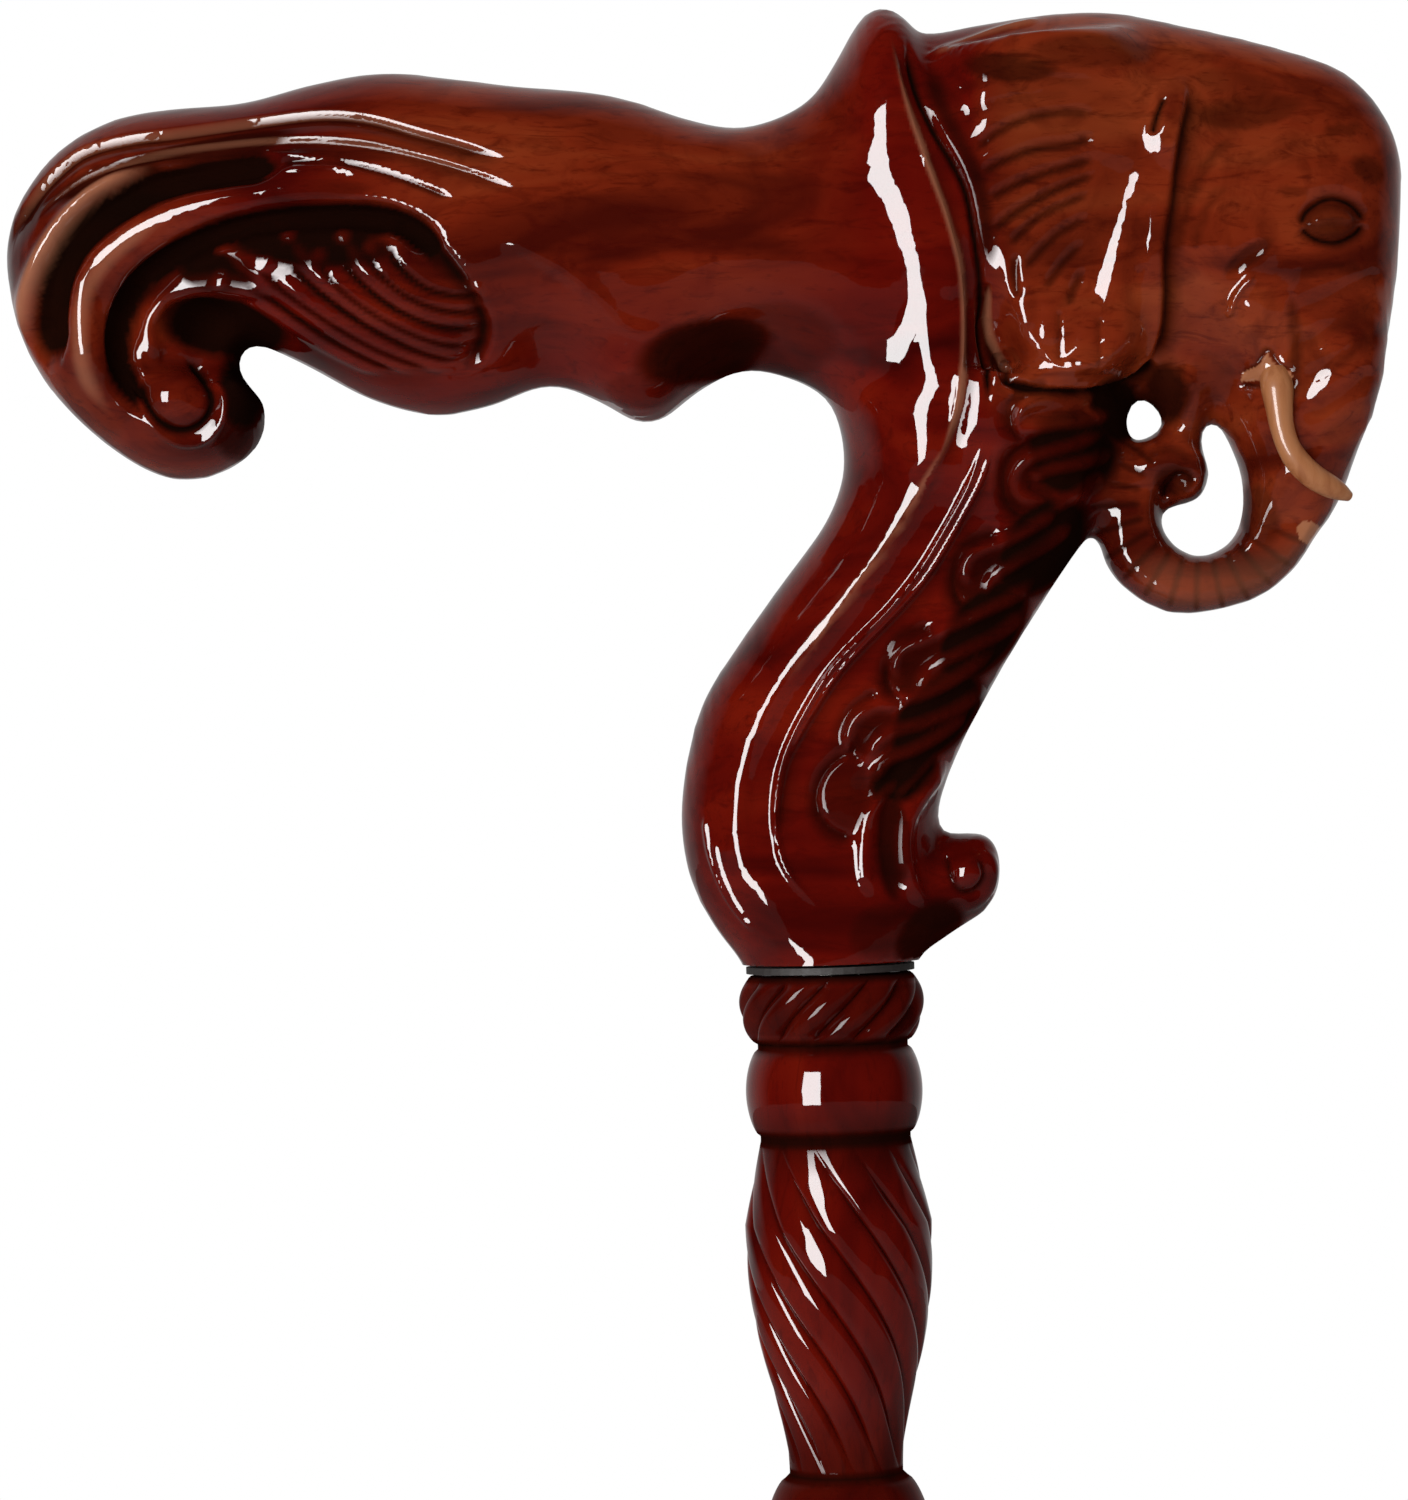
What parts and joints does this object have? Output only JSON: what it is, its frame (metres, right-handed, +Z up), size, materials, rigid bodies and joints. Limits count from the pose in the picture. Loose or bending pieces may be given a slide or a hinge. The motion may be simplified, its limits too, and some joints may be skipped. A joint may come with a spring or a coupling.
{
  "type": "walking stick",
  "caption": "Wooden walking stick: palm grip handle carved as an elephant's head, screwed to a turned shaft with a rubber tip.",
  "frame": {"origin": "the palm's place, on top of the grip's middle; the shaft's axis is 45 mm in front of it", "axes": "+Z up the shaft, +X the way the elephant looks, +Y to the elephant's left; both sides mirror each other in Y"},
  "size_m": [0.1673, 0.0315, 0.9195],
  "materials": {
    "handle_wood": "high gloss lacquer over dark red stain",
    "shaft_wood": "high gloss lacquer over dark red stain",
    "tusk": "lacquered pale wood",
    "steel": "zinc plated",
    "brass": "turned",
    "washer": "black, matt",
    "rubber": "black, matt"
  },
  "bodies": {
    "shaft": {"shaft": "shaft_wood", "joining_stud": "steel"},
    "washer": {"joint_washer": "washer"},
    "handle": {"handle": "handle_wood", "tusk_right": "tusk", "tusk_left": "tusk", "handle_insert": "brass"},
    "tip": {"rubber_tip": "rubber", "tip_washer": "steel"}
  },
  "joints": [
    {"name": "handle_rise", "type": "slide", "parent": "shaft", "child": "washer", "axis": [0, 0, 1], "range_m": [0, 0.015]},
    {"name": "handle_turn", "type": "hinge", "parent": "washer", "child": "handle", "pos_m": [0.045, 0, -0.1078], "axis": [0, 0, 1], "range_deg": [0, 4320]},
    {"name": "tip_pull", "type": "slide", "parent": "shaft", "child": "tip", "axis": [0, 0, -1], "range_m": [0, 0.036]}
  ],
  "couplings": [
    {"joint": "handle_rise", "follows": "handle_turn", "m_per_rad": 0.00019894}
  ]
}
